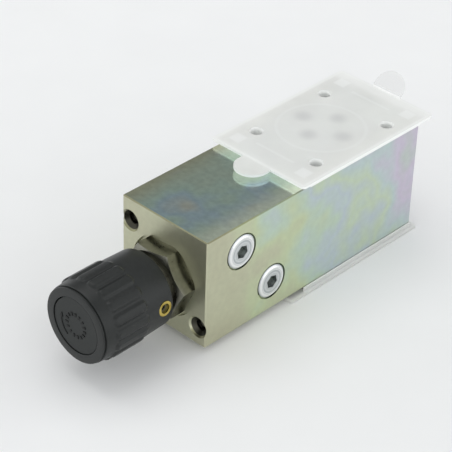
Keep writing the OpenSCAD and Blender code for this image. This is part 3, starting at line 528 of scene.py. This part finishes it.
# %% Section of the knob
barrel = [(10.75, 15.55), (22.7, 16.0), (38.1, 15.85), (42.45, 15.47)]
rear_rim = [(11.6, 10.2), (15.1, 10.2), (15.32, 10.25), (15.46, 10.38), (15.53, 10.55)]
grip_rows = [10.75, 14, 18, 21.5, 22.3, 22.6, 22.8, 23, 23.2, 23.4, 23.6, 23.9, 24.3, 25, 26.5, 29, 32, 34.5, 36.3,
             37, 37.4, 37.7, 37.9, 38.1, 38.3, 38.5, 38.7, 39, 40, 41.2, 42.45]
nose = [(15.43, 42.6), (15.33, 42.73), (15.18, 42.8), (14.8, 42.8), (14.8, 43.4), (14.95, 43.41), (15.06, 43.46),
        (15.1, 43.56), (15.1, 43.7), (15.06, 43.86), (14.96, 43.96), (14.8, 44), (11.75, 44), (11.62, 43.87)]
inside = [(11.62, 42.1), (7, 42.1), (7, 35.9), (4, 35.9), (4, 27.8), (11.6, 27.8)]
# The radius of a grip row is worked out later, from the barrel and the ridge
section = rear_rim + [(None, h) for h in grip_rows] + nose + inside
print("section of the knob:", len(section), "points")


# %% Ridge on the barrel
ridge_radius, ridge_rear, ridge_front, ridge_width, ridge_corner, flank = 16.65, 23.2, 38.1, 3.7, 1.3, 1.5


def barrel_radius(height):
    for (low, low_r), (high, high_r) in zip(barrel, barrel[1:]):
        if height <= high:
            return low_r + (high_r - low_r) * (height - low) / (high - low)
    return barrel[-1][1]


def ridge_share(across, height):
    side = abs(across) - ridge_width / 2 + ridge_corner
    end = abs(height - (ridge_rear + ridge_front) / 2) - (ridge_front - ridge_rear) / 2 + ridge_corner
    outside = math.hypot(max(side, 0), max(end, 0)) + min(max(side, end), 0) - ridge_corner
    share = min(max(0.5 - outside / flank, 0), 1)
    return share * share * (3 - 2 * share)


print("ridge height in mm:", round(ridge_radius - barrel_radius(ridge_rear), 2))


# %% One slice of the knob
half_slice = [0, 1.5, 3, 4, 4.6, 5.1, 5.5, 5.9, 6.3, 6.7, 7.1, 7.5, 8, 8.6, 9.3, 10]
turns = [-a for a in half_slice[:0:-1]] + half_slice
points = []
for turn in turns:
    for radius, height in section:
        if radius is None:
            base = barrel_radius(height)
            radius = base + (ridge_radius - base) * ridge_share(base * math.radians(turn), height)
        points.append(mm(radius * math.sin(math.radians(turn)), radius * math.cos(math.radians(turn)), height))
rows = len(section)
faces = [(j * rows + i, j * rows + (i + 1) % rows, (j + 1) * rows + (i + 1) % rows, (j + 1) * rows + i)
         for j in range(len(turns) - 1) for i in range(rows)]
slice_mesh = bpy.data.meshes.new("knob slice")
slice_mesh.from_pydata(points, [], faces)
print("knob slice:", len(points), "points")


# %% [markdown]
# The tree below puts eighteen turned copies of the slice on one point, welds their seams, and drills the hole for the
# brass insert with a Boolean. Only then is the knob tipped over onto the axis of the valve. The finished piece stands
# for the CAD knob, which has the same ridges with plain upright flanks.

# %% Knob from its slices
tree, given = new_tree("ring of slices", Count="Int", First="Float", Hole="Float", Hole_place="Vector",
                       Hole_turn="Vector", Axis_place="Vector", Finish="Material")
copies = add(tree, "GeometryNodeMeshLine", {"Count": given["Count"]}, {"Offset": (0, 0, 0)})
step = add(tree, "ShaderNodeMath", {1: given["Count"]}, {0: math.tau}, operation="DIVIDE")
angle = add(tree, "ShaderNodeMath", {0: add(tree, "GeometryNodeInputIndex"), 1: step, 2: given["First"]},
            operation="MULTIPLY_ADD")
turned = add(tree, "ShaderNodeCombineXYZ", {"Z": angle})
ring = add(tree, "GeometryNodeInstanceOnPoints",
           {"Points": copies, "Instance": given["Geometry"], "Rotation": turned})
solid = add(tree, "GeometryNodeMergeByDistance", {"Geometry": add(tree, "GeometryNodeRealizeInstances", {0: ring})},
            {"Distance": mm(0.002)})
drill = add(tree, "GeometryNodeMeshCylinder", {"Radius": given["Hole"]}, {"Vertices": 48, "Depth": mm(9)})
drill = add(tree, "GeometryNodeTransform", {"Geometry": drill.outputs["Mesh"], "Translation": given["Hole place"],
                                            "Rotation": given["Hole turn"]})
drilled = add(tree, "GeometryNodeMeshBoolean", {"Mesh 1": solid, "Mesh 2": drill}, operation="DIFFERENCE")
tipped = add(tree, "GeometryNodeTransform", {"Geometry": drilled, "Translation": given["Axis place"]},
             {"Rotation": (math.pi / 2, 0, 0)})
dressed = add(tree, "GeometryNodeSetMaterial", {"Geometry": tipped, "Material": given["Finish"]})
add(tree, "NodeGroupOutput", {"Geometry": dressed})

ridges, first_ridge = 18, math.radians(-26)
insert_turn, insert_height, insert_radius, insert_middle = math.radians(87), 14.5, 3.05, 14
knob_moulding = grow(
    "knob_moulding", tree, slice_mesh, Count=ridges, First=first_ridge, Hole=mm(insert_radius),
    Hole_place=mm(insert_middle * math.sin(insert_turn), insert_middle * math.cos(insert_turn), insert_height),
    Hole_turn=(-math.pi / 2, 0, -insert_turn), Axis_place=axis_point, Finish=knob_nylon)
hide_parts("knob")
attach(knob_moulding, "adjuster")


# %% [markdown]
# ## Screw threads
# The two tapped holes in the end face are plain cylinders in the CAD. A thread is a ridge that follows a spiral, so
# Geometry Nodes sweep a small diamond along one, and put a copy into each hole. The seed is a mesh of two points, one
# at the bottom of each thread.

# %% Threads in the end face
tree, given = new_tree("threads", Turns="Float", Length="Float", Radius="Float", Ridge="Float", Finish="Material")
spiral = add(tree, "GeometryNodeCurveSpiral",
             {"Rotations": given["Turns"], "Start Radius": given["Radius"], "End Radius": given["Radius"],
              "Height": given["Length"]}, {"Resolution": 32})
diamond = add(tree, "GeometryNodeCurvePrimitiveCircle", {"Radius": given["Ridge"]}, {"Resolution": 4})
swept = add(tree, "GeometryNodeCurveToMesh", {"Curve": spiral, "Profile Curve": diamond}, {"Fill Caps": True})
placed = add(tree, "GeometryNodeInstanceOnPoints", {"Points": given["Geometry"], "Instance": swept},
             {"Rotation": (math.pi / 2, 0, 0)})
real = add(tree, "GeometryNodeRealizeInstances", {"Geometry": placed})
dressed = add(tree, "GeometryNodeSetMaterial", {"Geometry": real, "Material": given["Finish"]})
add(tree, "NodeGroupOutput", {"Geometry": dressed})

thread_turns, pitch, thread_radius, thread_ridge, thread_bottom = 10.5, 1.0, 2.62, 0.4, -72.4
hole_mesh = bpy.data.meshes.new("thread bottoms")
hole_mesh.from_pydata([hole + mm(0, thread_bottom, 0) for hole in tapped_holes], [], [])
threads = grow("hole_threads", tree, hole_mesh, Turns=thread_turns, Length=mm(thread_turns * pitch),
               Radius=mm(thread_radius), Ridge=mm(thread_ridge), Finish=zinc)
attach(threads, "valve")


# %% [markdown]
# ## Relief spring
# Inside the sleeve a coil spring presses the poppet on its seat. It is wound from round wire, and its end turns lie
# close together, so that the ends are flat. The middle line of the wire is worked out here, and the tree sweeps a round
# section along it. The spring is swept in two halves of three turns each, one from each end.

# %% Tree for round wire
tree, given = new_tree("round wire", Wire="Float", Finish="Material")
line = add(tree, "GeometryNodeMeshToCurve", {"Mesh": given["Geometry"]})
round_section = add(tree, "GeometryNodeCurvePrimitiveCircle", {"Radius": given["Wire"]}, {"Resolution": 12})
swept = add(tree, "GeometryNodeCurveToMesh", {"Curve": line, "Profile Curve": round_section}, {"Fill Caps": True})
real = add(tree, "GeometryNodeRealizeInstances", {"Geometry": swept})
dressed = add(tree, "GeometryNodeSetMaterial", {"Geometry": real, "Material": given["Finish"]})
add(tree, "NodeGroupOutput", {"Geometry": dressed})
print("the tree for wire has", len(tree.nodes), "nodes")


# %% Spring in two halves
wire_radius, coil_radius, coil_start, closed_turn, open_turn, open_turns = 0.8, 4.3, -65.28, 1.63, 3.22, 4
turn_steps = 24
half_steps = 3 * turn_steps


def coil_point(turn, radius=coil_radius):
    opened = min(max(turn - 1, 0), open_turns)
    closed = min(turn, 1) + max(turn - 1 - open_turns, 0)
    rise = closed_turn * closed + open_turn * opened
    angle = math.tau * turn
    return mm(radius * math.cos(angle), coil_start - rise, radius * math.sin(angle) + axis_height)


for name, first, bodies in (("spring_poppet_half", 0, ("poppet", "valve")),
                            ("spring_plate_half", 3, ("valve", "plate"))):
    line_mesh = bpy.data.meshes.new(name)
    line_mesh.from_pydata([coil_point(first + i / turn_steps) for i in range(half_steps + 1)],
                          [(i, i + 1) for i in range(half_steps)], [])
    half = grow(name, tree, line_mesh, Wire=mm(wire_radius), Finish=hard_steel)
    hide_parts("relief_spring")
    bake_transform(half)


# %% [markdown]
# ## Lips of the covers
# A low lip along both long sides of each cover centres it on the block. It comes out of the mould with the plate. Its
# free edge catches the light, and is the thin bright line beside the lower edge of the block. A lip is a long bar with
# rounded edges, so bmesh stretches a cube to its size and bevels it.

# %% Lips on both covers
lip_thick, lip_length, lip_middle, lip_clearance, lip_edge, block_side = 0.5, 65, 1.5, 0.1, 0.12, 22
for name, sheet, low, high in (("top_cover_lips", upper_sheet, 49.7, 51.8),
                               ("bottom_cover_lips", lower_sheet, 0.9, 3)):
    work = bmesh.new()
    for side in (-1, 1):
        centre = mm(side * (block_side + lip_clearance + lip_thick / 2), lip_middle, (low + high) / 2)
        size = mm(lip_thick, lip_length, high - low)
        bmesh.ops.create_cube(work, size=1, matrix=Matrix.LocRotScale(centre, None, size))
    bmesh.ops.bevel(work, geom=work.edges[:], offset=mm(lip_edge), segments=2, profile=0.5, affect="EDGES")
    lip_mesh = bpy.data.meshes.new(name)
    work.to_mesh(lip_mesh)
    work.free()
    lip_mesh.materials.append(sheet)
    lips = plain_object(name, lip_mesh)
    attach(lips, "valve")
    print(name, "has", len(lip_mesh.polygons), "faces")


# %% [markdown]
# ## Marks on the cap
# The cap carries a raised turning arrow and a ring of plain raised ticks, left smooth by the mould, and tinted darker
# than the grained face as painted shade. All are flat bars bent round the axis, so one function sweeps four corner
# points along each bar. Half the width of the bar changes along the arrow, which gives it a head.

# %% Bars bent round the axis
cap_face, mark_height, mark_root = 43.75, 0.2, 0.1
# Shinier than the cap, and tinted darker as painted shade, so that the marks show
shaded_mark_nylon = moulding("smooth black nylon", "#0e100f", "#131514", 0.3, sheen=0.2)


def bent_bars(name, bars):
    points, faces = [], []
    for radius, stations in bars:
        first, last = len(points), len(points) + 4 * len(stations) - 4
        for turn, half in stations:
            for r, h in ((-half, -mark_root), (half, -mark_root), (half, mark_height), (-half, mark_height)):
                x, z = (radius + r) * math.sin(math.radians(turn)), (radius + r) * math.cos(math.radians(turn))
                points.append(axis_point + mm(x, -cap_face - h, z))
        faces += [(j + i, j + 4 + i, j + 4 + (i + 1) % 4, j + (i + 1) % 4)
                  for j in range(first, last, 4) for i in range(4)]
        faces += [tuple(range(first, first + 4)), tuple(range(last + 3, last - 1, -1))]
    mesh = bpy.data.meshes.new(name)
    mesh.from_pydata(points, [], faces)
    mesh.materials.append(shaded_mark_nylon)
    made = plain_object(name, mesh)
    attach(made, "adjuster")
    print(name, "has", len(faces), "faces")


# %% Turning arrow and ticks
arrow_radius, arrow_start, head_start, arrow_step = 7.6, -144, -87, 3
shaft_half, head_half, head_taper = 0.28, 0.85, 0.16
tick_radius, tick_spacing, tick_reach, tick_half = 4.7, 24, 5, 0.7
shaft = [(arrow_start + arrow_step * i, shaft_half) for i in range(20)]
head = [(head_start + arrow_step * i, head_half - head_taper * i) for i in range(6)]
bent_bars("turning_arrow", [(arrow_radius, shaft + head)])
bent_bars("cap_ticks", [(tick_radius, [(middle + reach, tick_half) for reach in (-tick_reach, 0, tick_reach)])
                        for middle in range(0, 360, tick_spacing)])


# %% [markdown]
# ## Studio
# The photograph was taken in a light tent: a pale floor, light from all round, and hardly a hard shadow. A wide softbox
# overhead, a little to the left, throws the faint shadow close along the right side. The tent's walls are brighter than
# its roof, and it has a darker gap at the back. The metal mirrors these: the upper face of the block looks into the gap
# and turns dark, while the upright faces look at the bright floor. The studio is large, so its sizes are in metres.

# %% Floor
floor_reach = 6
floor_mesh = bpy.data.meshes.new("floor")
floor_mesh.from_pydata([(x * floor_reach, y * floor_reach, 0) for x, y in ((-1, -1), (1, -1), (1, 1), (-1, 1))],
                       [], [(0, 1, 2, 3)])
floor = plain_object("floor", floor_mesh)
# Matt and even, a little short of white
floor_mesh.materials.append(moulding("pale paper", "#f3f3f3", "#f5f5f5", 0.8, size=40, depth=0.0))
floor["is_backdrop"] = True
print("floor:", 2 * floor_reach, "m wide")

# %% Lamp
softbox = bpy.data.lights.new("overhead softbox", "AREA")
softbox.shape, softbox.size, softbox.energy = "DISK", 1.4, 6.1
lamp = bpy.data.objects.new("overhead softbox", softbox)
bpy.context.scene.collection.objects.link(lamp)
lamp.location = (-0.45, 0.1, 1.5)
lamp.rotation_euler = (-lamp.location).to_track_quat("-Z", "Y").to_euler()
print("lamp of", softbox.energy, "W,", softbox.size, "m wide")

# %% Surround
gap_way = (-0.56, 0.6, 0.57)
world = bpy.data.worlds.new("light tent")
world.use_nodes = True
tree, backdrop = world.node_tree, world.node_tree.nodes["Background"]
way = add(tree, "ShaderNodeTexCoord").outputs["Generated"]
rise = add(tree, "ShaderNodeSeparateXYZ", {"Vector": way}).outputs["Z"]
wall = add(tree, "ShaderNodeMapRange", {"Value": rise}, {"To Min": 1.8, "To Max": 0.55})
toward_gap = add(tree, "ShaderNodeVectorMath", {0: way}, {1: gap_way}, operation="DOT_PRODUCT")
level = add(tree, "ShaderNodeMapRange", {"Value": toward_gap.outputs["Value"], "To Min": wall},
            {"From Min": 0.7, "From Max": 0.92, "To Max": 0.37}, interpolation_type="SMOOTHSTEP")
tree.links.new(level.outputs[0], backdrop.inputs["Strength"])
backdrop.inputs["Color"].default_value = colour("#f4f6f7")
bpy.context.scene.world = world
print("surround:", world.name, "with", len(tree.nodes), "nodes")

# %% [markdown]
# ## Camera
# The camera stands where the photograph was taken from. Its place and axes were worked out from the bolt holes and the
# corners of the block, so that the render and the photograph line up.

# %% Camera
lens = bpy.data.cameras.new("camera")
lens.lens, lens.sensor_width, lens.clip_start = 146.36, 36, 0.05
camera = bpy.data.objects.new("camera", lens)
bpy.context.scene.collection.objects.link(camera)
right, upward = Vector((0.7174, 0.6961, 0.0278)), Vector((-0.4139, 0.3939, 0.8207))
axes = Matrix((right, upward, right.cross(upward))).transposed().to_4x4()
camera.matrix_world = Matrix.Translation(mm(390.4, -470.6, 428.7)) @ axes
bpy.context.scene.camera = camera
bpy.context.scene.view_settings.view_transform = "Standard"
print("camera with a lens of", round(lens.lens, 2), "mm")

# %% Write the sizes and finish
low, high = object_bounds()
print("visual box in mm:", [round(1000 * v, 1) for v in high - low])
